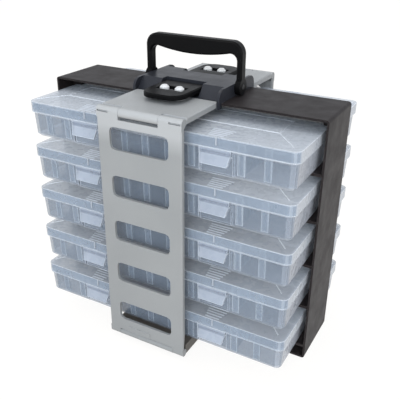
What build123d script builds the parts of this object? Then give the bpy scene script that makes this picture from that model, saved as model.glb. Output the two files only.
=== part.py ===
"""Carry case for small parts and batteries: ten lidded boxes in a two-sided rack.

The rack is a deep hoop with a middle wall. Five boxes slide in from the front and five
from the rear. On each side a hinged strap closes over the boxes: a tall windowed panel,
a top flap and a rocker latch that drops into the saddle under the carrying handle.

Millimetres. X runs along the front, +Y points to the rear and +Z up. The origin lies on
the ground, under the middle of the rack.
"""
from build123d import *
from math import atan, cos, degrees, radians, sin
import os

# ---- Driving dimensions ------------------------------------------------------------------
running_gap = 0.3          # between pieces that slide or swing past each other
bore_gap = 0.1             # radial play of a pin in its bore

rack_width = 350.0
rack_height = 298.6
rack_depth = 78.0
rack_wall = 2.4
rack_corner = 3.5          # outer corner radius of the hoop

box_levels = 5
box_pitch = 55.35          # height from one box to the next
box_floor = 19.2           # underside of the lowest box above the ground
box_side_gap = 4.6         # box to the hoop's side walls
box_width = rack_width - 2 * (rack_wall + box_side_gap)
box_depth = 95.0
box_height = 42.8
box_corner = 9.0
box_skin = 1.5

lid_rim = 12.4             # height of the lid's skirt
lid_overhang = 1.8         # skirt stands out this far past the tray
tray_draft = 2.0           # each tray wall leans in this much from top to bottom
tray_foot_bevel = 3.0

slot_middle = -7.5         # the middle one of the box's divider slots
slot_left = -114.7
slot_right = 106.9
slot_width = 7.8           # over both ribs of one slot
slot_rib = 1.4
slot_depth = 2.8

catch_left = -0.256 * box_width     # middle of each box catch
catch_right = 0.235 * box_width
catch_width = 35.4
catch_taper = 2.5          # each side of the catch leans in this much to its foot
catch_length = 15.5
catch_flare = 3.6          # its foot stands out this far
catch_thickness = 1.8
catch_pocket = 38.0

core_wall = 3.0            # middle wall between the front and the rear boxes
core_gap = 2.5             # box to middle wall
ledge_width = 17.0
ledge_thickness = 3.2
ledge_reach = 38.6         # the ledges end just inside the hoop

strap_width = 104.0
strap_reach = 117.9        # outer face of the panel from the rack's middle
panel_thickness = 3.2
panel_return = 5.2         # depth of the panel's side walls behind its face
panel_rib = 2.4
window_width = strap_width - 31.0
window_height = 25.6
window_corner = 5.5
window_rise = 26.9         # window centre above the underside of its box

flap_top = 300.6
flap_thickness = 6.4
flap_skin = 2.4
flap_inner_edge = 42.4     # distance of the flap's free edge from the rack's middle
hinge_radius = 5.2
hinge_pin_radius = 1.3
centre_barrel = 48.4       # the flap's barrel, between the panel's two knuckles

foot_hinge_radius = 4.5
foot_hinge_height = 11.5
foot_barrel = 75.0

base_width = strap_width - 3.0
base_under = 6.0

saddle_half_depth = 45.0
saddle_height = 14.5
saddle_cheek = 3.0
saddle_gap = 0.4           # flap to the saddle's cheeks
saddle_round = 11.0
saddle_skirt = 6.0         # the cheeks reach this far down over the hoop's edge

rocker_width = 50.6
rocker_thickness = 5.2
rocker_lift = 4.4          # air under the rocker's nose
rocker_nose = 79.5
rocker_tail = 20.0
rocker_round = 17.0
rocker_pivot = 50.0        # from the rack's middle
rocker_pin_radius = 1.2
post_radius = 5.2
post_bevel = 2.2
post_spacing = 19.0

handle_leg = 6.7
handle_side_gap = 0.05     # leg to the saddle's cheek
handle_spacing = strap_width + 2 * (saddle_gap + saddle_cheek + handle_side_gap) + handle_leg
handle_leg_depth = 12.0
handle_top = 358.0
handle_bar = 11.7
handle_bulge = 7.3         # the grip hangs this much lower in the middle
handle_corner = 14.0
handle_foot_radius = 9.2
handle_pivot_radius = 3.0

# ---- Places worked out from them ----------------------------------------------------------
hoop_inside = rack_width / 2 - rack_wall
hoop_ceiling = rack_height - rack_wall
box_back = core_wall / 2 + core_gap
box_front = box_back + box_depth
box_middle = (box_back + box_front) / 2
catch_places = (catch_left, catch_right)
strap_half = strap_width / 2
hinge_y = strap_reach - hinge_radius
hinge_z = flap_top - hinge_radius
foot_y = strap_reach - foot_hinge_radius
post_height = flap_top + rocker_lift + rocker_thickness + 2.7
rocker_under = flap_top + rocker_lift
rocker_top = rocker_under + rocker_thickness
rocker_pin_z = rocker_under + 0.45 * rocker_thickness
handle_pivot_z = rack_height + handle_foot_radius + 0.4
saddle_inner = strap_half + saddle_gap
saddle_outer = saddle_inner + saddle_cheek
saddle_top = rack_height + saddle_height

os.makedirs("parts", exist_ok=True)
parts_written = []


def flat_cornered(width, depth, radius, flats=2):
    """Corner points of a rectangle whose corners are rounded by a few flats."""
    points = []
    for turn in range(4):
        sign_x = (1, -1, -1, 1)[turn]
        sign_y = (1, 1, -1, -1)[turn]
        for step in range(flats + 1):
            angle = radians(90 * turn + 90 * step / flats)
            points.append(
                (
                    sign_x * (width / 2 - radius) + radius * cos(angle),
                    sign_y * (depth / 2 - radius) + radius * sin(angle),
                )
            )
    return points


def save(piece, name):
    """Label one finished piece and write its file."""
    piece.part.label = name
    export_step(piece.part, f"parts/{name}.step")
    parts_written.append(name)


def box_level(level):
    """Height of the underside of a box."""
    return box_floor + level * box_pitch


def front_plane(distance):
    """A plane facing the front, with its own axes along X and Z."""
    return Plane.XZ.offset(distance)


def rod(radius, length, y, z):
    """A round bar along X, centred on the rack's middle."""
    with Locations((0, y, z)):
        Cylinder(radius, length, rotation=(0, 90, 0))


def save_both_sides(piece, name):
    """Write the front piece, and the same piece turned half round for the rear."""
    save(piece, f"front_{name}")
    with BuildPart() as rear_piece:
        with Locations(Location((0, 0, 0), (0, 0, 180))):
            add(piece.part)
    save(rear_piece, f"rear_{name}")


# ---- Rack: hoop -------------------------------------------------------------------------
with BuildPart() as hoop:
    with BuildSketch(Plane.XZ):
        with Locations((0, rack_height / 2)):
            RectangleRounded(rack_width, rack_height, rack_corner)
            Rectangle(2 * hoop_inside, rack_height - 2 * rack_wall, mode=Mode.SUBTRACT)
    extrude(amount=rack_depth / 2, both=True)
save(hoop, "rack_hoop")

# ---- Rack: middle wall between the front and the rear boxes ---------------------------------
with BuildPart() as middle_wall:
    with BuildSketch(Plane.XZ):
        with Locations((0, rack_height / 2)):
            Rectangle(2 * hoop_inside, rack_height - 2 * rack_wall)
        # gateway for the base beam
        with Locations((0, rack_wall)):
            Rectangle(
                base_width + 2 * running_gap,
                2 * (box_floor - rack_wall),
                mode=Mode.SUBTRACT,
            )
    extrude(amount=core_wall / 2, both=True)
save(middle_wall, "rack_middle_wall")

# ---- Rack: ledges under the ends of the boxes, and keepers over the lids' back corners ----------
keeper_width = 12.0
keeper_reach = 11.0
sides_and_faces = [(side, face) for side in (-1, 1) for face in (-1, 1)]
with BuildPart() as ledges:
    for level in range(box_levels):
        ledge_top = box_level(level) - running_gap
        for side, face in sides_and_faces:
            with Locations(
                (
                    side * (hoop_inside - ledge_width / 2),
                    face * (ledge_reach + core_wall / 2) / 2,
                    ledge_top,
                )
            ):
                Box(
                    ledge_width,
                    ledge_reach - core_wall / 2,
                    ledge_thickness,
                    align=(Align.CENTER, Align.CENTER, Align.MAX),
                )
save(ledges, "rack_ledges")

with BuildPart() as keepers:
    for level in range(box_levels):
        keeper_foot = box_level(level) + box_height + running_gap
        keeper_head = min(box_level(level + 1) - running_gap - ledge_thickness, hoop_ceiling)
        for side, face in sides_and_faces:
            with Locations(
                (
                    side * (hoop_inside - keeper_width / 2),
                    face * (keeper_reach + core_wall / 2) / 2,
                    keeper_foot,
                )
            ):
                Box(
                    keeper_width,
                    keeper_reach - core_wall / 2,
                    keeper_head - keeper_foot,
                    align=(Align.CENTER, Align.CENTER, Align.MIN),
                )
save(keepers, "rack_keepers")

# ---- Rack: base beam that carries the lower hinges --------------------------------------------
beam_top = box_floor - running_gap
beam_end = foot_y - foot_hinge_radius - 0.5
beam_skin = 2.5
with BuildPart() as base_beam:
    with BuildSketch(Plane.XY.offset(base_under)):
        Rectangle(base_width, 2 * beam_end)
    extrude(amount=beam_top - base_under)
    with BuildSketch(Plane.XY.offset(base_under)):
        Rectangle(base_width - 2 * beam_skin, 2 * (beam_end - beam_skin))
    extrude(amount=beam_top - base_under - beam_skin, mode=Mode.SUBTRACT)
    # two rails that stand on the hoop
    with GridLocations(60.0, 1.0, 2, 1):
        with Locations((0, 0, rack_wall)):
            Box(
                6.0,
                rack_depth - 12.0,
                beam_top - rack_wall - 1.0,
                align=(Align.CENTER, Align.CENTER, Align.MIN),
            )
    for side in (-1, 1):
        with BuildSketch(Plane.YZ):
            with Locations((side * foot_y, foot_hinge_height)):
                Circle(foot_hinge_radius)
            with Locations((side * (foot_y + beam_end) / 2, foot_hinge_height)):
                Rectangle(foot_y - beam_end + 2 * beam_skin, 6.0)
            with Locations((side * foot_y, foot_hinge_height)):
                Circle(hinge_pin_radius + bore_gap, mode=Mode.SUBTRACT)
        extrude(amount=foot_barrel / 2, both=True)
save(base_beam, "base_beam")

# ---- Saddle under the handle ---------------------------------------------------------------
recess_half = rocker_width / 2 + 1.0
recess_back = rocker_tail - 2.5
recess_floor = rack_height + 1.5
slope_foot = 38.5
slope_head = 27.0
with BuildPart() as saddle:
    with BuildSketch(Plane.YZ):
        with BuildLine():
            Polyline(
                (-slope_foot, rack_height),
                (-slope_foot, recess_floor),
                (-slope_head, saddle_top),
                (slope_head, saddle_top),
                (slope_foot, recess_floor),
                (slope_foot, rack_height),
                close=True,
            )
        make_face()
    extrude(amount=saddle_inner, both=True)
    # open recesses for the tails of the two rocker latches
    for side in (-1, 1):
        with Locations((0, side * (recess_back + slope_foot) / 2 + side * 1.0, recess_floor)):
            Box(
                2 * recess_half,
                slope_foot - recess_back + 2.0,
                saddle_height,
                align=(Align.CENTER, Align.CENTER, Align.MIN),
                mode=Mode.SUBTRACT,
            )
    # end cheeks, rounded at both shoulders, which straddle the hoop
    for side in (-1, 1):
        with BuildSketch(Plane.YZ.offset(side * (saddle_inner + saddle_cheek / 2))):
            with BuildLine():
                Polyline(
                    (-saddle_half_depth, rack_height - saddle_skirt),
                    (-saddle_half_depth, saddle_top - saddle_round),
                )
                RadiusArc(
                    (-saddle_half_depth, saddle_top - saddle_round),
                    (-saddle_half_depth + saddle_round, saddle_top),
                    saddle_round,
                )
                Line(
                    (-saddle_half_depth + saddle_round, saddle_top),
                    (saddle_half_depth - saddle_round, saddle_top),
                )
                RadiusArc(
                    (saddle_half_depth - saddle_round, saddle_top),
                    (saddle_half_depth, saddle_top - saddle_round),
                    saddle_round,
                )
                Polyline(
                    (saddle_half_depth, saddle_top - saddle_round),
                    (saddle_half_depth, rack_height - saddle_skirt),
                    (rack_depth / 2 + running_gap, rack_height - saddle_skirt),
                    (rack_depth / 2 + running_gap, rack_height),
                    (-rack_depth / 2 - running_gap, rack_height),
                    (-rack_depth / 2 - running_gap, rack_height - saddle_skirt),
                    (-saddle_half_depth, rack_height - saddle_skirt),
                )
            make_face()
        extrude(amount=saddle_cheek / 2, both=True)
    # blind bores for the handle's pivots
    for side in (-1, 1):
        with BuildSketch(Plane.YZ.offset(side * saddle_outer)):
            with Locations((0, handle_pivot_z)):
                Circle(handle_pivot_radius)
        extrude(amount=-side * 9.0, mode=Mode.SUBTRACT)
save(saddle, "saddle")

# ---- Handle ----------------------------------------------------------------------------------
leg_inner = handle_spacing / 2 - handle_leg / 2
leg_outer = handle_spacing / 2 + handle_leg / 2
grip_under = handle_top - handle_bar
inner_round = 8.0
with BuildPart() as handle:
    with BuildSketch(Plane.XZ):
        with BuildLine():
            Polyline(
                (-leg_inner, grip_under),
                (-leg_inner, handle_pivot_z),
                (-leg_outer, handle_pivot_z),
                (-leg_outer, handle_top),
                (leg_outer, handle_top),
                (leg_outer, handle_pivot_z),
                (leg_inner, handle_pivot_z),
                (leg_inner, grip_under),
            )
            ThreePointArc(
                (leg_inner, grip_under),
                (0, grip_under - handle_bulge),
                (-leg_inner, grip_under),
            )
        make_face()
        fillet(vertices().filter_by(lambda v: v.Y > handle_top - 1.0), handle_corner)
        inner_corners = vertices().filter_by(lambda v: abs(v.Y - grip_under) < 0.1)
        fillet(inner_corners, inner_round)
    extrude(amount=handle_leg_depth / 2, both=True)
    rims = edges().filter_by(lambda e: abs(abs(e.center().Y) - handle_leg_depth / 2) < 0.01)
    chamfer(rims.filter_by(lambda e: e.center().Z > handle_pivot_z + 1.0), 1.8)
    # round feet at the pivots
    for side in (-1, 1):
        with BuildSketch(Plane.YZ.offset(side * handle_spacing / 2)):
            with Locations((0, handle_pivot_z)):
                Circle(handle_foot_radius)
        extrude(amount=handle_leg / 2, both=True)
    with BuildSketch(Plane.YZ):
        with Locations((0, handle_pivot_z)):
            Circle(handle_pivot_radius + bore_gap)
    extrude(amount=leg_outer + 1.0, both=True, mode=Mode.SUBTRACT)
save(handle, "handle")

with BuildPart() as pivots:
    for side in (-1, 1):
        with BuildSketch(Plane.YZ.offset(side * (saddle_outer - 9.0))):
            with Locations((0, handle_pivot_z)):
                Circle(handle_pivot_radius)
        extrude(amount=side * (leg_outer + running_gap - saddle_outer + 9.0))
save(pivots, "handle_pivots")

# ---- Strap: windowed panel -------------------------------------------------------------------
panel_inner = strap_reach - panel_thickness
knuckle_start = centre_barrel / 2 + running_gap
knuckle = strap_half - knuckle_start
foot_knuckle = strap_half - foot_barrel / 2 - running_gap
panel_foot = foot_hinge_height + foot_hinge_radius + 1.2
shoulder_z = hinge_z - hinge_radius - 1.6
return_foot = panel_foot + 5.0
return_rise = 18.0
return_head = hinge_z - hinge_radius
bore_end = 1.6             # wall left at the end of each pin's bore
plate_middle = -10.0
window_outline = flat_cornered(window_width, window_height, window_corner)
with BuildPart() as panel:
    with BuildSketch(front_plane(panel_inner)):
        with Locations((0, (panel_foot + hinge_z) / 2)):
            Rectangle(strap_width, hinge_z - panel_foot)
        for level in range(box_levels):
            with Locations((0, box_level(level) + window_rise)):
                Polygon(*window_outline, align=None, mode=Mode.SUBTRACT)
    extrude(amount=panel_thickness)
    # side walls, cut away at the foot so that they clear the lowest box when the panel is open
    return_planes = [Plane.YZ.offset(-strap_half), Plane.YZ.offset(strap_half - panel_rib)]
    with BuildSketch(*return_planes):
        with BuildLine():
            Polyline(
                (-strap_reach + 1.0, return_foot),
                (-panel_inner, return_foot),
                (-strap_reach + panel_return, return_foot + return_rise),
                (-strap_reach + panel_return, return_head - 1.5),
                (-strap_reach + panel_return - 1.5, return_head),
                (-strap_reach + 1.0, return_head),
                close=True,
            )
        make_face()
    extrude(amount=panel_rib)
    # a cross rib between the windows
    for level in range(1, box_levels):
        with Locations((0, -panel_inner, box_level(level) + window_rise - box_pitch / 2)):
            Box(
                strap_width - panel_rib,
                panel_return - panel_thickness,
                panel_rib,
                align=(Align.CENTER, Align.MIN, Align.CENTER),
            )
    # upright edges of the face are bevelled
    face_edges = edges().filter_by(Axis.Z).filter_by(
        lambda e: abs(abs(e.center().X) - strap_half) < 0.01 and e.center().Y < -strap_reach + 0.01
    )
    chamfer(face_edges, 1.2)
    # room for the flap's barrel, then the panel's own knuckles
    with Locations((0, -hinge_y, hinge_z)):
        Cylinder(
            hinge_radius + 0.4,
            strap_width + 2.0,
            rotation=(0, 90, 0),
            mode=Mode.SUBTRACT,
        )
    with Locations((0, -strap_reach, shoulder_z)):
        Box(
            centre_barrel + 2 * running_gap,
            4 * panel_thickness,
            3 * hinge_radius,
            align=(Align.CENTER, Align.CENTER, Align.MIN),
            mode=Mode.SUBTRACT,
        )
    knuckle_planes = [Plane.YZ.offset(knuckle_start), Plane.YZ.offset(-strap_half)]
    with BuildSketch(*knuckle_planes):
        with BuildLine():
            Line((-strap_reach, shoulder_z), (-strap_reach, hinge_z))
            ThreePointArc(
                (-strap_reach, hinge_z),
                (-hinge_y, flap_top),
                (-hinge_y + hinge_radius, hinge_z),
            )
            Polyline(
                (-hinge_y + hinge_radius, hinge_z),
                (-panel_inner, shoulder_z),
                (-strap_reach, shoulder_z),
            )
        make_face()
    extrude(amount=knuckle)
    # slot in the face of each knuckle
    with BuildSketch(front_plane(strap_reach + 1.0)):
        with Locations((44.0, hinge_z + 0.4), (-44.0, hinge_z + 0.4)):
            Rectangle(14.0, 2.0)
    extrude(amount=-3.2, mode=Mode.SUBTRACT)
    # raised blank plate at the foot of the face
    with Locations((plate_middle, -strap_reach, return_foot - 1.4)):
        Box(32.0, 1.4, 7.0)
    # knuckles of the lower hinge at both corners
    foot_planes = [Plane.YZ.offset(-strap_half), Plane.YZ.offset(strap_half - foot_knuckle)]
    with BuildSketch(*foot_planes):
        with Locations((-foot_y, foot_hinge_height)):
            Circle(foot_hinge_radius)
        with Locations((-strap_reach, foot_hinge_height)):
            Rectangle(
                panel_thickness,
                panel_foot - foot_hinge_height + 1.0,
                align=(Align.MIN, Align.MIN),
            )
    extrude(amount=foot_knuckle)
    # blind bores for both pins
    with BuildSketch(Plane.YZ):
        with Locations((-hinge_y, hinge_z), (-foot_y, foot_hinge_height)):
            Circle(hinge_pin_radius + bore_gap)
    extrude(amount=strap_half - bore_end, both=True, mode=Mode.SUBTRACT)
save_both_sides(panel, "strap_panel")

# ---- Strap: top flap with the two latch posts --------------------------------------------------
flap_under = flap_top - flap_thickness
flap_outer_edge = hinge_y - hinge_radius - 0.6
flap_inside = strap_width - 2 * flap_skin
with BuildPart() as flap:
    with BuildSketch(Plane.XY.offset(flap_under)):
        with Locations((0, -(flap_outer_edge + flap_inner_edge) / 2)):
            Rectangle(strap_width, flap_outer_edge - flap_inner_edge)
    extrude(amount=flap_thickness)
    top_edges = faces().sort_by(Axis.Z)[-1].edges().filter_by(Axis.Y)
    chamfer(top_edges, 1.0)
    with BuildSketch(Plane.XY.offset(flap_under)):
        with Locations((0, -(flap_outer_edge + flap_inner_edge) / 2)):
            Rectangle(flap_inside, flap_outer_edge - flap_inner_edge - 2 * flap_skin)
    extrude(amount=flap_thickness - flap_skin, mode=Mode.SUBTRACT)
    # a cross rib, and two long ribs in line with the posts
    with BuildSketch(Plane.XY.offset(flap_under)):
        with Locations((0, -(flap_outer_edge + rocker_pivot) / 2)):
            Rectangle(strap_width - flap_skin, 1.8)
        for rib_x in (-post_spacing / 2, post_spacing / 2):
            with Locations((rib_x, -(flap_outer_edge + flap_inner_edge) / 2)):
                Rectangle(1.8, flap_outer_edge - flap_inner_edge - flap_skin)
    extrude(amount=flap_thickness - 1.0)
    # barrel on the hinge axis, joined to the plate by its upper and lower tangents
    with BuildSketch(Plane.YZ):
        with Locations((-hinge_y, hinge_z)):
            Circle(hinge_radius)
        with Locations((-hinge_y, flap_top)):
            Rectangle(
                hinge_radius + 2.0,
                flap_thickness,
                align=(Align.MIN, Align.MAX),
            )
        with Locations((-hinge_y, hinge_z)):
            Circle(hinge_pin_radius + bore_gap, mode=Mode.SUBTRACT)
    extrude(amount=centre_barrel / 2, both=True)
    # domed posts that carry the rocker latch
    post_foot = flap_top - flap_skin
    shoulder = post_height - post_bevel
    with Locations(*[(side * post_spacing / 2, -rocker_pivot, 0) for side in (-1, 1)]):
        with Locations((0, 0, post_foot)):
            Cylinder(
                post_radius,
                shoulder - post_foot,
                align=(Align.CENTER, Align.CENTER, Align.MIN),
            )
        with Locations((0, 0, shoulder)):
            Cone(
                post_radius,
                post_radius - post_bevel,
                post_bevel,
                align=(Align.CENTER, Align.CENTER, Align.MIN),
            )
    with Locations((0, -rocker_pivot, rocker_pin_z)):
        Cylinder(
            rocker_pin_radius,
            2 * post_spacing,
            rotation=(0, 90, 0),
            mode=Mode.SUBTRACT,
        )
save_both_sides(flap, "strap_flap")

# ---- Strap: rocker latch --------------------------------------------------------------------
rocker_half = rocker_width / 2
window_half = post_spacing / 2 + post_radius + 2.0
with BuildPart() as rocker:
    with BuildSketch(Plane.XY.offset(rocker_under)) as rocker_plan:
        with BuildLine():
            Polyline(
                (-rocker_half, -rocker_nose + rocker_round),
                (-rocker_half, -rocker_tail),
                (rocker_half, -rocker_tail),
                (rocker_half, -rocker_nose + rocker_round),
            )
            RadiusArc(
                (rocker_half, -rocker_nose + rocker_round),
                (rocker_half - rocker_round, -rocker_nose),
                rocker_round,
            )
            Line(
                (rocker_half - rocker_round, -rocker_nose),
                (-rocker_half + rocker_round, -rocker_nose),
            )
            RadiusArc(
                (-rocker_half + rocker_round, -rocker_nose),
                (-rocker_half, -rocker_nose + rocker_round),
                rocker_round,
            )
        make_face()
    extrude(amount=rocker_thickness)
    top_rim = faces().sort_by(Axis.Z)[-1].edges()
    chamfer(top_rim, 1.3)
    with BuildSketch(Plane.XY.offset(rocker_under)):
        with Locations((0, -rocker_pivot)):
            Rectangle(2 * window_half, 2 * post_radius + 5.0)
    extrude(amount=rocker_thickness, mode=Mode.SUBTRACT)
    # lip under the tail
    with Locations((0, -rocker_tail - 0.8, rocker_under)):
        Box(
            rocker_width - 8.0,
            3.2,
            3.2,
            align=(Align.CENTER, Align.MAX, Align.MAX),
        )
    with BuildSketch(Plane.YZ):
        with Locations((-rocker_pivot, rocker_pin_z)):
            Circle(rocker_pin_radius + bore_gap)
    extrude(amount=rocker_half - 1.5, both=True, mode=Mode.SUBTRACT)
save_both_sides(rocker, "latch_rocker")

with BuildPart() as rocker_pin:
    rod(rocker_pin_radius, rocker_width - 3.6, -rocker_pivot, rocker_pin_z)
save_both_sides(rocker_pin, "latch_pin")

# ---- Strap: hinge pins -----------------------------------------------------------------------
with BuildPart() as upper_pin:
    rod(hinge_pin_radius, strap_width - 2 * (bore_end + running_gap), -hinge_y, hinge_z)
save_both_sides(upper_pin, "upper_hinge_pin")

with BuildPart() as lower_pin:
    rod(hinge_pin_radius, strap_width - 2 * (bore_end + running_gap), -foot_y, foot_hinge_height)
save_both_sides(lower_pin, "lower_hinge_pin")

# ---- Box: tray, made for the lowest front place with its underside at height 0 ------------------
tray_top = box_height - box_skin - running_gap
rim_foot = box_height - lid_rim
draft_angle = degrees(atan(tray_draft / tray_top))
tray_width = box_width - 2 * lid_overhang
tray_depth = box_depth - 2 * lid_overhang
tray_corner = box_corner - lid_overhang
pocket_back = box_front - 7.0
pocket_top = rim_foot - running_gap
slot_places = (slot_left, slot_middle, slot_right)
lean = tray_draft / tray_top


def wall_rib(offsets, wall_y, inward):
    """Upright ribs on a long wall that follow the lean of the wall.

    offsets are the ribs' places along X, wall_y the outer face of the wall at the tray's
    top, and inward is 1 or -1, the way from the wall into the tray.
    """
    rib_foot = box_skin + 3.0
    rib_head = tray_top - 4.0
    foot = wall_y + inward * (lean * (tray_top - rib_foot) + box_skin / 2)
    head = wall_y + inward * (lean * (tray_top - rib_head) + box_skin / 2)
    reach = inward * (slot_depth + box_skin / 2)
    with BuildPart() as ribs:
        with BuildSketch(*[Plane.YZ.offset(x - slot_rib / 2) for x in offsets]):
            with BuildLine():
                Polyline(
                    (foot, rib_foot),
                    (head, rib_head),
                    (head + reach, rib_head),
                    (foot + reach, rib_foot),
                    close=True,
                )
            make_face()
        extrude(amount=slot_rib)
    return ribs.part


def slot_pair(places):
    """Both ribs of each slot."""
    half = (slot_width - slot_rib) / 2
    return [x + side * half for x in places for side in (-1, 1)]


pocket_places = [(x, -pocket_back, -1.0) for x in catch_places]
ridge_foot = pocket_top - 7.4
flange_height = 4.0
tray_outline = flat_cornered(tray_width, tray_depth, tray_corner)
flange_outline = flat_cornered(box_width - 1.0, box_depth - 1.0, box_corner - 0.5)
cavity_outline = flat_cornered(
    tray_width - 2 * box_skin,
    tray_depth - 2 * box_skin,
    tray_corner - box_skin,
    1,
)
with BuildPart() as tray_cavity:
    with BuildSketch(Plane.XY.offset(tray_top)):
        with Locations((0, -box_middle)):
            Polygon(*cavity_outline, align=None)
    extrude(amount=-(tray_top - box_skin), taper=draft_angle)
    chamfer(faces().sort_by(Axis.Z)[0].edges(), tray_foot_bevel - 1.0)
    # the catch pockets keep a wall of their own
    with Locations(*pocket_places):
        with Locations((0, box_skin, 0)):
            Box(
                catch_pocket + 2 * box_skin,
                20.0,
                pocket_top + box_skin + 1.0,
                align=(Align.CENTER, Align.MAX, Align.MIN),
                mode=Mode.SUBTRACT,
            )

end_rib_foot = box_skin + 3.0
end_rib_head = tray_top - 4.0
end_foot = tray_width / 2 - lean * (tray_top - end_rib_foot) - box_skin / 2
end_head = tray_width / 2 - lean * (tray_top - end_rib_head) - box_skin / 2
end_reach = slot_depth + box_skin / 2
end_slot = box_middle - 3.0
end_planes = [front_plane(end_slot + d - slot_rib / 2) for d in (-3.2, 3.2)]
with BuildPart() as end_ribs:
    with BuildSketch(*end_planes):
        for side in (-1, 1):
            with BuildLine():
                Polyline(
                    (side * end_foot, end_rib_foot),
                    (side * end_head, end_rib_head),
                    (side * (end_head - end_reach), end_rib_head),
                    (side * (end_foot - end_reach), end_rib_foot),
                    close=True,
                )
            make_face()
    extrude(amount=slot_rib)

with BuildPart() as tray:
    with BuildSketch(Plane.XY.offset(tray_top)):
        with Locations((0, -box_middle)):
            Polygon(*tray_outline, align=None)
    extrude(amount=-tray_top, taper=draft_angle)
    chamfer(faces().sort_by(Axis.Z)[0].edges(), tray_foot_bevel)
    # sloping flange that the lid's skirt stands on
    with BuildSketch(Plane.XY.offset(pocket_top)):
        with Locations((0, -box_middle)):
            Polygon(*flange_outline, align=None)
    extrude(amount=-flange_height, taper=45)
    add(tray_cavity.part, mode=Mode.SUBTRACT)
    add(wall_rib(slot_pair(slot_places), -box_front + lid_overhang, 1))
    add(wall_rib(slot_pair(slot_places), -box_back - lid_overhang, -1))
    add(end_ribs.part)
    with Locations(*pocket_places):
        Box(
            catch_pocket,
            20.0,
            pocket_top + 1.0,
            align=(Align.CENTER, Align.MAX, Align.MIN),
            mode=Mode.SUBTRACT,
        )
    # ridges that the catches hook under
    with Locations(*[(x, -pocket_back, ridge_foot) for x in catch_places]):
        Box(24.0, 3.4, 1.6, align=(Align.CENTER, Align.MAX, Align.MIN))

# ---- Box: loose divider that stands in one pair of slots ------------------------------------------
divider_slot = slot_right
divider_edge = slot_width - 2 * slot_rib - 0.4
divider_top = tray_top - 5.0
divider_foot = box_skin + running_gap


def inner_wall(outer_y, inward, z):
    """Inner face of a long tray wall at height z, less the running gap."""
    return outer_y + inward * (box_skin + lean * (tray_top - z) + 2 * running_gap)


front_top_y = inner_wall(-box_front + lid_overhang, 1, divider_top)
front_foot_y = inner_wall(-box_front + lid_overhang, 1, divider_foot)
back_top_y = inner_wall(-box_back - lid_overhang, -1, divider_top)
back_foot_y = inner_wall(-box_back - lid_overhang, -1, divider_foot)
with BuildPart() as divider:
    with BuildSketch(Plane.YZ.offset(divider_slot)):
        with BuildLine():
            Polyline(
                (front_top_y, divider_top),
                (front_foot_y - 0.3, divider_foot + 4.0),
                (front_foot_y + 4.0, divider_foot),
                (back_foot_y - 4.0, divider_foot),
                (back_foot_y + 0.3, divider_foot + 4.0),
                (back_top_y, divider_top),
                close=True,
            )
        make_face()
    extrude(amount=0.8, both=True)
    # thicker upright edges that fill the slots
    for edge_y, edge_foot, inward in ((front_top_y, front_foot_y, 1), (back_top_y, back_foot_y, -1)):
        with BuildSketch(Plane.YZ.offset(divider_slot)):
            with BuildLine():
                Polyline(
                    (edge_y, divider_top),
                    (edge_foot - inward * 0.3, divider_foot + 4.0),
                    (edge_foot + inward * 1.9, divider_foot + 4.0),
                    (edge_y + inward * 2.0, divider_top),
                    close=True,
                )
            make_face()
        extrude(amount=divider_edge / 2, both=True)
with BuildPart() as tray_group:
    add(tray.part)
    add(divider.part)

# ---- Box: lid ------------------------------------------------------------------------------------
frame_left = -box_width / 2 + 25.5
frame_right = box_width / 2 - 37.5
frame_front = 57.5
frame_back = 13.0
frame_rib = 1.2
with BuildPart() as lid:
    with BuildSketch(Plane.XY.offset(rim_foot)):
        with Locations((0, -box_middle)):
            RectangleRounded(box_width, box_depth, box_corner)
    extrude(amount=lid_rim)
    with BuildSketch(Plane.XY.offset(rim_foot)):
        with Locations((0, -box_middle)):
            Rectangle(box_width - 2 * box_skin, box_depth - 2 * box_skin)
        chamfer(vertices(), 4.2)
    extrude(amount=lid_rim - box_skin, mode=Mode.SUBTRACT)
    # raised frame on the lid, with a rib from its front corners to the lid's corners
    with BuildSketch(Plane.XY.offset(box_height - 0.2)):
        with Locations(((frame_left + frame_right) / 2, -(frame_front + frame_back) / 2)):
            Rectangle(frame_right - frame_left, frame_front - frame_back)
            Rectangle(
                frame_right - frame_left - 2 * frame_rib,
                frame_front - frame_back - 2 * frame_rib,
                mode=Mode.SUBTRACT,
            )
        for corner_x, end_x in ((frame_left, frame_left - 21.5), (frame_right, frame_right + 26.5)):
            with BuildLine():
                Polyline(
                    (corner_x, -frame_front + frame_rib),
                    (end_x, -box_front + 11.0 + frame_rib),
                    (end_x, -box_front + 11.0),
                    (corner_x, -frame_front),
                    close=True,
                )
            make_face()
    extrude(amount=0.7)

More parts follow.
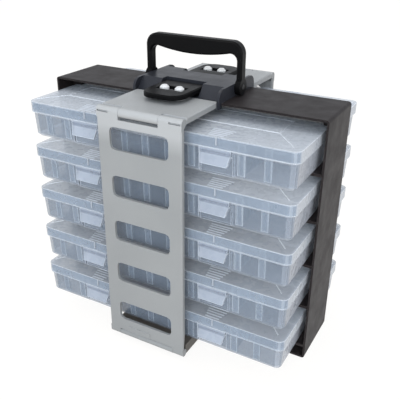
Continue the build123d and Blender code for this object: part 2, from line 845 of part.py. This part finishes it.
# ---- Box: snap catch -----------------------------------------------------------------------------
catch_axis_y = box_front - catch_thickness / 2
catch_axis_z = pocket_top - catch_thickness / 2
catch_foot = catch_axis_z - catch_length
catch_inner = catch_axis_y - catch_thickness / 2
with BuildPart() as catch:
    with BuildSketch(Plane.YZ.offset(-catch_width / 2)):
        with BuildLine():
            Polyline(
                (-box_front, catch_axis_z),
                (-box_front + 0.5, catch_axis_z + catch_thickness / 2),
                (-catch_inner - 0.4, catch_axis_z + catch_thickness / 2),
                (-catch_inner, ridge_foot - 0.6),
                (-pocket_back - 1.0, ridge_foot - 0.6),
                (-catch_inner, ridge_foot - 4.6),
                (-catch_inner - catch_flare, catch_foot),
                (-box_front - catch_flare, catch_foot),
                (-box_front, catch_axis_z - 5.0),
                (-box_front, catch_axis_z),
            )
        make_face()
    extrude(amount=catch_width)
    # webs at both ends behind the flared foot
    web_planes = [
        Plane.YZ.offset(-catch_width / 2 + catch_taper),
        Plane.YZ.offset(catch_width / 2 - catch_taper - 1.2),
    ]
    with BuildSketch(*web_planes):
        with BuildLine():
            Polyline(
                (-catch_inner, ridge_foot - 4.6),
                (-catch_inner, catch_foot),
                (-catch_inner - catch_flare, catch_foot),
                close=True,
            )
        make_face()
    extrude(amount=1.2)
    # both sides lean in to the foot
    with BuildSketch(front_plane(box_front + catch_flare + 1.0)):
        for side in (-1, 1):
            with BuildLine():
                Polyline(
                    (side * catch_width / 2, catch_axis_z - 2.0),
                    (side * (catch_width / 2 + 1.0), catch_axis_z - 2.0),
                    (side * (catch_width / 2 + 1.0), catch_foot - 1.0),
                    (side * (catch_width / 2 - catch_taper), catch_foot - 1.0),
                    close=True,
                )
            make_face()
    extrude(amount=-4 * catch_flare, mode=Mode.SUBTRACT)


def save_in_rack(piece, name, offset=0.0):
    """Write a box piece once for each place in the rack, front and rear."""
    for side_name, turn in (("front", 0), ("rear", 180)):
        for level in range(box_levels):
            with BuildPart() as placed:
                with Locations(Location((0, 0, box_level(level)), (0, 0, turn))):
                    with Locations((offset, 0, 0)):
                        add(piece.part)
            save(placed, f"{side_name}_{name}_{level + 1}")


save_in_rack(tray_group, "tray")
save_in_rack(lid, "lid")
save_in_rack(catch, "catch_left", catch_left)
save_in_rack(catch, "catch_right", catch_right)

print(len(parts_written), "pieces written")
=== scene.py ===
"""Studio picture of the carry case: materials, small trim, lights and camera round the CAD frame."""
import bmesh
import bpy
import math
from mathutils import Matrix, Vector


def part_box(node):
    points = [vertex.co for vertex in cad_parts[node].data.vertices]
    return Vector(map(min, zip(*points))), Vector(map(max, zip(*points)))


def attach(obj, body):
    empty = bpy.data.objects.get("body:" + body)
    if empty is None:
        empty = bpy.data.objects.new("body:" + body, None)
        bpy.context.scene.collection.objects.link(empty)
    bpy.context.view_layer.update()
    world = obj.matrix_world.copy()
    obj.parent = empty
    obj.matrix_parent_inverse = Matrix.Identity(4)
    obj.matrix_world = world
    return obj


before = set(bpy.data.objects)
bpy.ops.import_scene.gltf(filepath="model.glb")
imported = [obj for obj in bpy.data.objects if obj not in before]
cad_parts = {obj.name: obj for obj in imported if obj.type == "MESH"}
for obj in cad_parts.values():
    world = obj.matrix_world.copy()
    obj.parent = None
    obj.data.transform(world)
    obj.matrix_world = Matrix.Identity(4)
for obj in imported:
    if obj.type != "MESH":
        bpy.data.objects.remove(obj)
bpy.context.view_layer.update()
MM = 0.001

# ---- Sizes of the trim, and of what it meets on the CAD model, in millimetres -------------------
LEVELS = 5
LID_TOP_RIB = 0.5           # the lid's highest ribs stand this far above its plate
TRAY_TOP = 41.0             # above the box's underside
TRAY_SKIN = 1.5
TRAY_LEAN = 2.0 / TRAY_TOP
FRONT_WALL = -97.2          # outer faces of the long walls at the tray's top
BACK_WALL = -5.8
SLOT_RIB = 1.4
SLOT_WIDTH = 7.8            # over both ribs of one slot
SLOT_DEPTH = 2.8
SLOTS_LEFT_TO_SCENE = (-141.5, -61.1, -34.3, 21.1, 49.7, 135.5)
SLOTS_IN_CAD = (-114.7, -7.5, 106.9)
FILM = 0.35                 # thicker skin between the ribs of a slot
POST_FOOT = 4.5             # the posts begin this far above the box's underside
POST_HEAD = TRAY_TOP - 2.5
POST_SUNK = 0.2 * TRAY_SKIN  # the posts begin this deep inside the wall
POST_BEVEL = 0.15
GRIP_COUNT = 5
GRIP_FIRST = -76.4          # depth of the rib that lies furthest from the lid's edge
GRIP_PITCH = 4.7
GRIP_HALF = 13.0            # half the length of that rib
GRIP_STEP = 1.0             # each next rib is shorter by this at both ends
GRIP_FOOT = 1.1             # half the width of a rib at the lid's plate
GRIP_CREST = 0.7            # and at its top
GRIP_HEIGHT = 0.5
GRIP_SHIFT = -0.5           # from the middle of the catch
TAB_HALF = 0.6
TAB_DROP = 8.6              # the tab reaches this far below the lid's plate
TAB_SHIFT = 1.5             # from the middle of the catch
BARREL_RADIUS = 4.5         # middle barrel of the lower hinge
BARREL_HALF = 37.4
BARREL_PLACE = (113.4, 11.5)  # depth and height of its axis
SLEEVE_STEPS = 28
SLEEVE_OPEN = math.radians(38)  # half of the gap that faces the rack
POST_START = 301.2          # the flap's white posts begin at this height
LIT_HEAD_START = 262.0          # the painted highlight on the panel's head begins here
LIT_HEAD_WIDTH = 20.0           # and reaches its full strength this much higher

# ---- Looks of the milky plastic; lengths in millimetres -----------------------------------------
LIGHT_PASSED_ON = 0.95      # share of its shadow that the milky plastic gives up
END_START = 150.0           # the boxes' end walls stand further out than this
END_WIDTH = 4.0             # the ends' painted highlight and added opacity fade in over this width
END_DENSITY = 0.28          # added to the opacity of the boxes' end walls
LEVEL_FACE = (0.90, 0.98)   # upward share of the normal, from which a face counts as level and gets a painted highlight
FOOT_BEVEL = (0.20, 0.35, 0.85, 0.95)  # upward share of the normal on a sloping bevel, which gets a painted highlight
ROUND_CORNER = (0.25, 0.35, 0.55, 0.70)  # sideways share of the normal on a rounded corner, which gets a painted highlight
RECESS_SHADE_EDGE = 0.7           # the catches' band of painted shade fades in and out over this height
RECESS_SHADE_SHARE = 0.75

# ---- The catches repeat from level to level, in metres ------------------------------------------
CATCH_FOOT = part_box("front_catch_left_1")[0][2]
CATCH_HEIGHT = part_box("front_catch_left_1")[1][2] - CATCH_FOOT
LEVEL_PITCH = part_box("front_catch_left_2")[0][2] - CATCH_FOOT


# ---- Node helpers -------------------------------------------------------------------------------
class Surface:
    """A material with its shader node and short calls for the nodes round it."""

    def __init__(self, name):
        self.material = bpy.data.materials.new(name)
        self.material.use_nodes = True
        self.tree = self.material.node_tree
        self.shader = self.tree.nodes["Principled BSDF"]
        spaces = self.add("ShaderNodeTexCoord").outputs
        self.coords = spaces["Object"]
        self.normal = spaces["Normal"]

    def add(self, kind, **settings):
        node = self.tree.nodes.new(kind)
        for key, value in settings.items():
            setattr(node, key, value)
        return node

    def link(self, source, target):
        self.tree.links.new(source, target)

    def feed(self, socket, value):
        """Links a socket, or writes a plain value into it."""
        if isinstance(value, bpy.types.NodeSocket):
            self.link(value, socket)
        else:
            socket.default_value = value

    def noise(self, scale, detail=3.0, rough=0.5, stretch=None):
        """Noise in metres of the object's own space; stretch squeezes it along an axis."""
        node = self.add("ShaderNodeTexNoise")
        node.inputs["Scale"].default_value = scale
        node.inputs["Detail"].default_value = detail
        node.inputs["Roughness"].default_value = rough
        if stretch:
            mapping = self.add("ShaderNodeMapping")
            mapping.inputs["Scale"].default_value = stretch
            self.link(self.coords, mapping.inputs["Vector"])
            self.link(mapping.outputs["Vector"], node.inputs["Vector"])
        else:
            self.link(self.coords, node.inputs["Vector"])
        return node.outputs["Fac"]

    def span(self, value, low, high, from_low=0.3, from_high=0.7):
        node = self.add("ShaderNodeMapRange")
        self.link(value, node.inputs["Value"])
        for key, number in (
            ("From Min", from_low),
            ("From Max", from_high),
            ("To Min", low),
            ("To Max", high),
        ):
            node.inputs[key].default_value = number
        return node.outputs["Result"]

    def mix(self, factor, first, second):
        node = self.add("ShaderNodeMix", data_type="RGBA")
        self.feed(node.inputs["Factor"], factor)
        self.feed(node.inputs[6], first)
        self.feed(node.inputs[7], second)
        return node.outputs[2]

    def math(self, operation, first, second):
        node = self.add("ShaderNodeMath", operation=operation)
        self.feed(node.inputs[0], first)
        self.feed(node.inputs[1], second)
        return node.outputs[0]

    def edges(self, radius):
        """0 on flat ground and 1 on sharp edges, from how far a rounded normal turns away."""
        bevel = self.add("ShaderNodeBevel", samples=6)
        bevel.inputs["Radius"].default_value = radius
        geometry = self.add("ShaderNodeNewGeometry")
        dot = self.add("ShaderNodeVectorMath", operation="DOT_PRODUCT")
        self.link(bevel.outputs["Normal"], dot.inputs[0])
        self.link(geometry.outputs["Normal"], dot.inputs[1])
        return self.span(dot.outputs["Value"], 1.0, 0.0, 0.80, 0.985)

    def parts(self, vector):
        """X, Y and Z of a vector."""
        split = self.add("ShaderNodeSeparateXYZ")
        self.link(vector, split.inputs[0])
        return split.outputs

    def sizes(self, vector):
        """X, Y and Z of a vector without their signs."""
        size = self.add("ShaderNodeVectorMath", operation="ABSOLUTE")
        self.link(vector, size.inputs[0])
        return self.parts(size.outputs[0])

    def band(self, value, start, low, high, end):
        """1 between low and high, and 0 outside start and end."""
        rise = self.span(value, 0.0, 1.0, start, low)
        return self.math("MULTIPLY", rise, self.span(value, 1.0, 0.0, high, end))

    def bump(self, height, distance, strength=1.0):
        node = self.add("ShaderNodeBump")
        node.inputs["Strength"].default_value = strength
        node.inputs["Distance"].default_value = distance
        self.link(height, node.inputs["Height"])
        self.link(node.outputs["Normal"], self.shader.inputs["Normal"])


def moulded(name, dark, light, fleck_and_highlight, rough, grain, grain_depth, shine=0.5, edge=0.0006,
            streak=None, cap=None):
    """Injection-moulded plastic: slow colour drift, fine grain with light flecks, and a painted
    highlight on the edges.

    cap is the colour of what stands higher than the flap's plate. With it, the upright faces
    at the strap's head also get a painted highlight, as where more light falls on them.
    """
    s = Surface(name)
    s.shader.inputs["Specular IOR Level"].default_value = shine
    drift = s.span(s.noise(9.0, 4.0, 0.55, streak), 0.0, 1.0)
    body = s.mix(drift, (*dark, 1), (*light, 1))
    speck = s.span(s.noise(900.0, 2.0), 0.0, 0.10, 0.35, 0.75)
    body = s.mix(speck, body, (*fleck_and_highlight, 1))
    # painted highlight: the rounded edges drawn lighter, as where they catch the light
    body = s.mix(s.math("MULTIPLY", s.edges(edge), 0.55), body, (*fleck_and_highlight, 1))
    if cap:
        height = s.parts(s.coords)[2]
        # painted highlight: the strap's upright front and back faces lighter towards its head, as where
        # more light falls
        head = s.span(height, 0.0, 0.9, LIT_HEAD_START * MM, (LIT_HEAD_START + LIT_HEAD_WIDTH) * MM)
        head = s.math("MULTIPLY", head, s.sizes(s.normal)[1])
        body = s.mix(head, body, (*fleck_and_highlight, 1))
        above = s.math("GREATER_THAN", height, POST_START * MM)
        body = s.mix(above, body, (*cap, 1))
    s.link(body, s.shader.inputs["Base Color"])
    s.link(s.span(s.noise(60.0, 3.0), rough - 0.05, rough + 0.07), s.shader.inputs["Roughness"])
    s.bump(s.noise(grain, 3.0, 0.6), grain_depth)
    return s.material


def clear_box(name, body_tint, lit_face_tint, highlight_tint, alpha, edge_alpha, edge_width,
              bevel_highlight_share=0.6, corner_highlight_share=0.3, recess_shade=None):
    """Milky see-through plastic: denser ends, and painted highlights on level faces, end walls, bevels,
    corners and edges.

    The recess argument is a band of painted shade, where the catch's face steps back, that repeats with
    the levels: its foot, its head and its tint.
    """
    s = Surface(name)
    along, _, upward = s.sizes(s.normal)
    outward = s.math("MULTIPLY", s.parts(s.normal)[0], s.parts(s.coords)[0])
    end = s.span(outward, 0.0, 1.0, END_START * MM, (END_START + END_WIDTH) * MM)
    drift = s.span(s.noise(14.0, 3.0, 0.5), 0.0, 1.0)
    darker = tuple(0.93 * c for c in body_tint)
    body = s.mix(drift, (*darker, 1), (*body_tint, 1))
    # painted shade: a darker band where the catch's face steps back, repeated on every level
    if recess_shade:
        band_foot, band_head, shade_tint = recess_shade
        climb = s.math("SUBTRACT", s.parts(s.coords)[2], band_foot)
        climb = s.math("MODULO", climb, LEVEL_PITCH)
        band_height = band_head - band_foot
        edge_height = RECESS_SHADE_EDGE * MM
        recess_shade_mask = s.band(climb, 0.0, edge_height, band_height, band_height + edge_height)
        body = s.mix(s.math("MULTIPLY", recess_shade_mask, RECESS_SHADE_SHARE), body, (*shade_tint, 1))
    # painted highlight: level faces and the outer faces of the end walls drawn lighter, as where more
    # light reaches them
    lit_faces = s.math("MAXIMUM", s.span(upward, 0.0, 1.0, *LEVEL_FACE), end)
    body = s.mix(lit_faces, body, (*lit_face_tint, 1))
    # painted highlight on sloping bevels and rounded corners, as where they catch the light
    foot = s.math("MULTIPLY", s.band(upward, *FOOT_BEVEL), bevel_highlight_share)
    corner = s.math("MULTIPLY", s.band(along, *ROUND_CORNER), corner_highlight_share)
    # the painted edge highlight is weaker at the back, where the lid's frame is shallower than at the
    # front
    depth = s.span(s.sizes(s.coords)[1], 0.35, 1.0, 0.03, 0.06)
    sharp = s.math("MULTIPLY", s.edges(edge_width), depth)
    edge = s.math("MAXIMUM", sharp, s.math("MAXIMUM", foot, corner))
    # painted highlight: edges, bevels and corners mixed towards the highlight tint
    s.link(s.mix(edge, body, (*highlight_tint, 1)), s.shader.inputs["Base Color"])
    facing = s.add("ShaderNodeLayerWeight")
    facing.inputs["Blend"].default_value = 0.35
    skin = s.span(facing.outputs["Facing"], alpha, alpha + 0.35, 0.15, 1.0)
    skin = s.math("ADD", skin, s.span(drift, -0.03, 0.03, 0.0, 1.0))
    skin = s.math("ADD", skin, s.math("MULTIPLY", end, END_DENSITY))
    dense = s.math("MULTIPLY", edge, edge_alpha)
    # milky plastic spreads light on into what lies behind it, so it casts a weak shadow
    rays = s.add("ShaderNodeLightPath")
    onward = s.math("MAXIMUM", rays.outputs["Is Shadow Ray"], rays.outputs["Is Diffuse Ray"])
    kept = s.math("SUBTRACT", 1.0, s.math("MULTIPLY", onward, LIGHT_PASSED_ON))
    s.link(s.math("MULTIPLY", s.math("MAXIMUM", skin, dense), kept), s.shader.inputs["Alpha"])
    s.link(s.span(s.noise(120.0, 2.0), 0.22, 0.34), s.shader.inputs["Roughness"])
    s.shader.inputs["IOR"].default_value = 1.49
    s.bump(s.noise(30.0, 2.0), 0.00006, 0.4)
    return s.material


def dark_steel(name):
    """Blackened steel, drawn along X."""
    s = Surface(name)
    tone = s.span(s.noise(500.0, 4.0, 0.6, (0.05, 1, 1)), 0.0, 1.0)
    s.link(s.mix(tone, (0.05, 0.05, 0.055, 1), (0.11, 0.11, 0.115, 1)), s.shader.inputs["Base Color"])
    s.shader.inputs["Metallic"].default_value = 1.0
    s.link(s.span(tone, 0.32, 0.46, 0.0, 1.0), s.shader.inputs["Roughness"])
    s.bump(tone, 0.00005, 0.6)
    return s.material


STRAP = moulded("strap_plastic", (0.285, 0.297, 0.306), (0.325, 0.337, 0.345), (0.46, 0.475, 0.49),
                0.42, 1400.0, 0.00005, shine=0.4, cap=(0.66, 0.67, 0.68))
RACK = moulded("rack_plastic", (0.014, 0.0115, 0.0120), (0.022, 0.0180, 0.0190), (0.05, 0.044, 0.045),
               0.50, 1100.0, 0.00007, shine=0.18, streak=(1, 1, 0.25))
SADDLE = moulded("saddle_plastic", (0.016, 0.018, 0.024), (0.025, 0.027, 0.035), (0.08, 0.085, 0.10),
                 0.36, 1100.0, 0.00005, shine=0.25)
BLACK = moulded("black_plastic", (0.0025, 0.0025, 0.003), (0.0045, 0.0045, 0.005), (0.016, 0.016, 0.016),
                0.36, 1300.0, 0.00003, shine=0.08)
CLEAR = clear_box("box_plastic", (0.235, 0.29, 0.37), (0.41, 0.44, 0.50), (0.82, 0.88, 1.0),
                  0.40, 0.90, 0.0013)
LID = clear_box("lid_plastic", (0.32, 0.39, 0.49), (0.50, 0.54, 0.60), (0.86, 0.92, 1.0),
                0.42, 0.90, 0.0013)
# painted shade: the darker band on the upper part of each catch, where its face steps back
CATCH_RECESS_SHADE = (CATCH_FOOT + 0.60 * CATCH_HEIGHT, CATCH_FOOT + 0.84 * CATCH_HEIGHT, (0.20, 0.25, 0.34))
CATCH = clear_box("catch_plastic", (0.44, 0.50, 0.61), (0.45, 0.51, 0.61), (0.86, 0.92, 1.0),
                  0.46, 0.90, 0.0009, bevel_highlight_share=0.12, corner_highlight_share=0.0, recess_shade=CATCH_RECESS_SHADE)
RIB = moulded("rib_plastic", (0.44, 0.48, 0.545), (0.48, 0.52, 0.585), (0.56, 0.60, 0.66),
              0.34, 900.0, 0.00003, shine=0.4)
BASE = moulded("base_plastic", (0.11, 0.10, 0.09), (0.14, 0.13, 0.117), (0.22, 0.21, 0.19),
               0.50, 1100.0, 0.00006, shine=0.25)
CORE = moulded("core_plastic", (0.17, 0.17, 0.175), (0.20, 0.20, 0.205), (0.27, 0.27, 0.275),
               0.48, 1100.0, 0.00006, shine=0.3)
STEEL = dark_steel("pin_steel")


def look_of(node):
    """The material that a CAD node wears."""
    if "_catch_" in node:
        return CATCH
    if "_lid_" in node:
        return LID
    if "_tray_" in node:
        return CLEAR
    if "strap_" in node:
        return STRAP
    if node == "base_beam":
        return BASE
    if node == "rack_middle_wall":
        return CORE
    if node == "saddle":
        return SADDLE
    if node == "handle" or "rocker" in node:
        return BLACK
    if "pin" in node or "pivots" in node:
        return STEEL
    return RACK


for node_name, node_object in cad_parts.items():
    node_object.data.materials.clear()
    node_object.data.materials.append(look_of(node_name))


# ---- Small trim that the CAD model leaves out ---------------------------------------------------
class Trim:
    """A mesh of small blocks that rides on one body of the case.

    Corners are given in millimetres, for the front side; the rear side is turned half round.
    """

    def __init__(self, name, body, slot, material):
        self.name = name
        self.body = body
        self.slot = slot
        self.material = material
        self.cells = bmesh.new()

    def block(self, low_ring, high_ring):
        """A block between two rings of four corners each."""
        corners = [self.cells.verts.new(Vector(point) * MM) for point in (*low_ring, *high_ring)]
        self.cells.faces.new(corners[3::-1])
        self.cells.faces.new(corners[4:])
        for k in range(4):
            after = (k + 1) % 4
            self.cells.faces.new((corners[k], corners[after], corners[4 + after], corners[4 + k]))

    def finish(self, side, bevel):
        bmesh.ops.recalc_face_normals(self.cells, faces=self.cells.faces)
        if bevel:
            bmesh.ops.bevel(self.cells, geom=self.cells.edges[:], offset=bevel * MM, segments=2,
                            affect="EDGES", profile=0.5)
        if side == "rear":
            self.cells.transform(Matrix.Rotation(math.pi, 4, "Z"))
        mesh = bpy.data.meshes.new(self.name)
        self.cells.to_mesh(mesh)
        self.cells.free()
        mesh.materials.append(self.material)
        piece = bpy.data.objects.new(self.name, mesh)
        bpy.context.scene.collection.objects.link(piece)
        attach(piece, self.body)


def rectangle(x_low, x_high, y_low, y_high, z):
    """Ring of four corners at one height."""
    return ((x_low, y_low, z), (x_high, y_low, z), (x_high, y_high, z), (x_low, y_high, z))


def grip_ribs(trim, x, plate):
    """Short ribs on the lid behind a catch, shorter towards the lid's edge."""
    for k in range(GRIP_COUNT):
        y = GRIP_FIRST - GRIP_PITCH * k
        half = GRIP_HALF - GRIP_STEP * k
        tip = half - 0.5
        low = rectangle(x - half, x + half, y - GRIP_FOOT, y + GRIP_FOOT, plate - 0.1)
        high = rectangle(x - tip, x + tip, y - GRIP_CREST, y + GRIP_CREST, plate + GRIP_HEIGHT)
        trim.block(low, high)


def rim_tab(trim, x, lid_front, plate):
    """Upright tab on the lid's rim, over the middle of the catch."""
    low_x, high_x = x - TAB_HALF, x + TAB_HALF
    low = rectangle(low_x, high_x, lid_front - 0.5, lid_front + 0.2, plate - TAB_DROP)
    high = rectangle(low_x, high_x, lid_front - 0.4, lid_front + 0.6, plate + 0.1)
    trim.block(low, high)


def slot_post(trim, x, width, depth, wall, inward, floor):
    """One upright bar of a divider slot, which follows the lean of its long wall."""
    rings = []
    for height in (POST_FOOT, POST_HEAD):
        skin = wall + inward * (TRAY_LEAN * (TRAY_TOP - height) + TRAY_SKIN - POST_SUNK)
        tip = skin + inward * (depth + POST_SUNK)
        low_y, high_y = sorted((skin, tip))
        rings.append(rectangle(x - width / 2, x + width / 2, low_y, high_y, floor + height))
    trim.block(*rings)


def barrel_sleeve(side, body):
    """Thin sleeve in the strap's colour round the lower hinge's middle barrel."""
    trim = Trim(f"{side}_barrel_sleeve", body, "strap_grey", STRAP)
    rows = []
    for k in range(SLEEVE_STEPS + 1):
        angle = SLEEVE_OPEN + (2 * math.pi - 2 * SLEEVE_OPEN) * k / SLEEVE_STEPS
        row = []
        for radius in (BARREL_RADIUS - 0.05, BARREL_RADIUS + 0.12):
            for x in (-BARREL_HALF, BARREL_HALF):
                y = -BARREL_PLACE[0] + radius * math.cos(angle)
                z = BARREL_PLACE[1] + radius * math.sin(angle)
                row.append(trim.cells.verts.new(Vector((x, y, z)) * MM))
        rows.append(row)
    for first, second in zip(rows, rows[1:]):
        for a, b in ((0, 1), (1, 3), (3, 2), (2, 0)):
            trim.cells.faces.new((first[a], first[b], second[b], second[a]))
    for row in (rows[0], rows[-1]):
        trim.cells.faces.new((row[0], row[1], row[3], row[2]))
    trim.finish(side, 0)


def dress_box(side, level):
    """Grip ribs, rim tabs and slots of one box, measured on the front side."""
    body = f"{side}_box_{level}"
    lid_low, lid_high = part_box(f"front_lid_{level}")
    lid_front = lid_low[1] / MM
    plate = lid_high[2] / MM - LID_TOP_RIB
    floor_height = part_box(f"front_tray_{level}")[0][2] / MM
    grips = Trim(f"{side}_grip_ribs_{level}", body, "box_clear", RIB)
    films = Trim(f"{side}_slot_films_{level}", body, "box_clear", LID)
    for hand in ("left", "right"):
        catch_low, catch_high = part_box(f"front_catch_{hand}_{level}")
        catch_x = (catch_low[0] + catch_high[0]) / 2 / MM
        grip_ribs(grips, catch_x + GRIP_SHIFT, plate)
        rim_tab(grips, catch_x + TAB_SHIFT, lid_front, plate)
    grips.finish(side, 0)
    posts = Trim(f"{side}_slot_posts_{level}", body, "box_clear", LID)
    for slot_x in SLOTS_LEFT_TO_SCENE:
        for shift in (-1, 1):
            post_x = slot_x + shift * (SLOT_WIDTH - SLOT_RIB) / 2
            slot_post(posts, post_x, SLOT_RIB, SLOT_DEPTH, FRONT_WALL, 1, floor_height)
            slot_post(posts, post_x, SLOT_RIB, SLOT_DEPTH, BACK_WALL, -1, floor_height)
    posts.finish(side, POST_BEVEL)
    for slot_x in SLOTS_LEFT_TO_SCENE + SLOTS_IN_CAD:
        slot_post(films, slot_x, SLOT_WIDTH, FILM, FRONT_WALL, 1, floor_height)
    films.finish(side, 0)


for side_name in ("front", "rear"):
    barrel_sleeve(side_name, "rack")
    for box_level in range(1, LEVELS + 1):
        dress_box(side_name, box_level)

# ---- Stage: floor, world, lamps and camera ------------------------------------------------------
FLOOR_HALF = 4.0            # metres
FLOOR_GLOW = 1.20
SHADOW_SHARE = 0.25         # how much of the floor's own shading the camera sees
BACKDROP_COLOUR = (0.90, 0.93, 0.98, 1)
BACKDROP_STRENGTH = 0.90
AZIMUTH, ELEVATION, ROLL = (math.radians(angle) for angle in (28.75, 25.86, 0.54))
CAMERA_DISTANCE = 734.78 * MM
CAMERA_TARGET = Vector((8.717, 0.0, 155.695)) * MM
LENS = 52.16                # on a sensor 36 mm wide


def floor_material():
    """Pale ground that looks almost white, with a weak shadow under the case."""
    s = Surface("floor")
    s.shader.inputs["Roughness"].default_value = 0.9
    tone = s.span(s.noise(3.0), 0.0, 1.0)
    ground = s.mix(tone, (0.50, 0.46, 0.40, 1), (0.54, 0.50, 0.44, 1))
    s.link(ground, s.shader.inputs["Base Color"])
    white = s.add("ShaderNodeEmission")
    white.inputs["Strength"].default_value = FLOOR_GLOW
    rays = s.add("ShaderNodeLightPath")
    through = s.math("MAXIMUM", rays.outputs["Is Camera Ray"], rays.outputs["Is Glossy Ray"])
    through = s.math("MAXIMUM", through, rays.outputs["Is Transmission Ray"])
    blend = s.add("ShaderNodeMixShader")
    s.link(s.math("MULTIPLY", through, 1.0 - SHADOW_SHARE), blend.inputs[0])
    s.link(s.shader.outputs[0], blend.inputs[1])
    s.link(white.outputs[0], blend.inputs[2])
    s.link(blend.outputs[0], s.tree.nodes["Material Output"].inputs["Surface"])
    return s.material


floor_corners = [(x * FLOOR_HALF, y * FLOOR_HALF, 0) for x, y in ((-1, -1), (1, -1), (1, 1), (-1, 1))]
floor_mesh = bpy.data.meshes.new("floor")
floor_mesh.from_pydata(floor_corners, [], [(0, 1, 2, 3)])
floor_mesh.materials.append(floor_material())
floor = bpy.data.objects.new("floor", floor_mesh)
bpy.context.scene.collection.objects.link(floor)

world = bpy.data.worlds.new("studio")
bpy.context.scene.world = world
world.use_nodes = True
sky = world.node_tree
backdrop = sky.nodes["Background"]
backdrop.inputs["Color"].default_value = BACKDROP_COLOUR
backdrop.inputs["Strength"].default_value = BACKDROP_STRENGTH
white_sky = sky.nodes.new("ShaderNodeBackground")
white_sky.inputs["Color"].default_value = (1, 1, 1, 1)
sky_rays = sky.nodes.new("ShaderNodeLightPath")
seen = sky.nodes.new("ShaderNodeMath")
seen.operation = "MAXIMUM"
sky.links.new(sky_rays.outputs["Is Camera Ray"], seen.inputs[0])
sky.links.new(sky_rays.outputs["Is Transmission Ray"], seen.inputs[1])
sky_mix = sky.nodes.new("ShaderNodeMixShader")
sky.links.new(seen.outputs[0], sky_mix.inputs[0])
sky.links.new(backdrop.outputs[0], sky_mix.inputs[1])
sky.links.new(white_sky.outputs[0], sky_mix.inputs[2])
sky.links.new(sky_mix.outputs[0], sky.nodes["World Output"].inputs["Surface"])


def lamp(name, place, target, size, power, colour):
    """A soft square lamp that looks at a point of the case."""
    data = bpy.data.lights.new(name, "AREA")
    data.size = size
    data.energy = power
    data.color = colour
    thing = bpy.data.objects.new(name, data)
    thing.location = place
    thing.rotation_mode = "QUATERNION"
    thing.rotation_quaternion = (Vector(target) - Vector(place)).to_track_quat("-Z", "Y")
    bpy.context.scene.collection.objects.link(thing)


lamp("key", (0.45, -1.75, 1.05), (0, 0, 0.16), 0.9, 17.0, (0.92, 0.97, 1.0))
lamp("side", (1.6, -1.2, 0.6), (0.1, 0, 0.15), 0.9, 7.0, (0.98, 0.99, 1.0))
lamp("top", (-0.3, 0.2, 1.8), (0, 0, 0.2), 1.2, 7.8, (1.0, 0.94, 0.83))

back = Vector(
    (
        math.sin(AZIMUTH) * math.cos(ELEVATION),
        -math.cos(AZIMUTH) * math.cos(ELEVATION),
        math.sin(ELEVATION),
    )
)
right = (-back).cross(Vector((0, 0, 1))).normalized()
up = right.cross(-back)
rolled_right = math.cos(ROLL) * right + math.sin(ROLL) * up
rolled_up = math.cos(ROLL) * up - math.sin(ROLL) * right
camera_data = bpy.data.cameras.new("camera")
camera_data.lens = LENS
camera_data.sensor_width = 36.0
camera_data.clip_start = 0.01
camera_data.clip_end = 50.0
camera = bpy.data.objects.new("camera", camera_data)
camera.rotation_mode = "QUATERNION"
turn = Matrix((rolled_right, rolled_up, back)).transposed()
camera.rotation_quaternion = turn.to_quaternion()
camera.location = CAMERA_TARGET + back * CAMERA_DISTANCE
bpy.context.scene.collection.objects.link(camera)
bpy.context.scene.camera = camera

bpy.context.scene.view_settings.view_transform = "Standard"
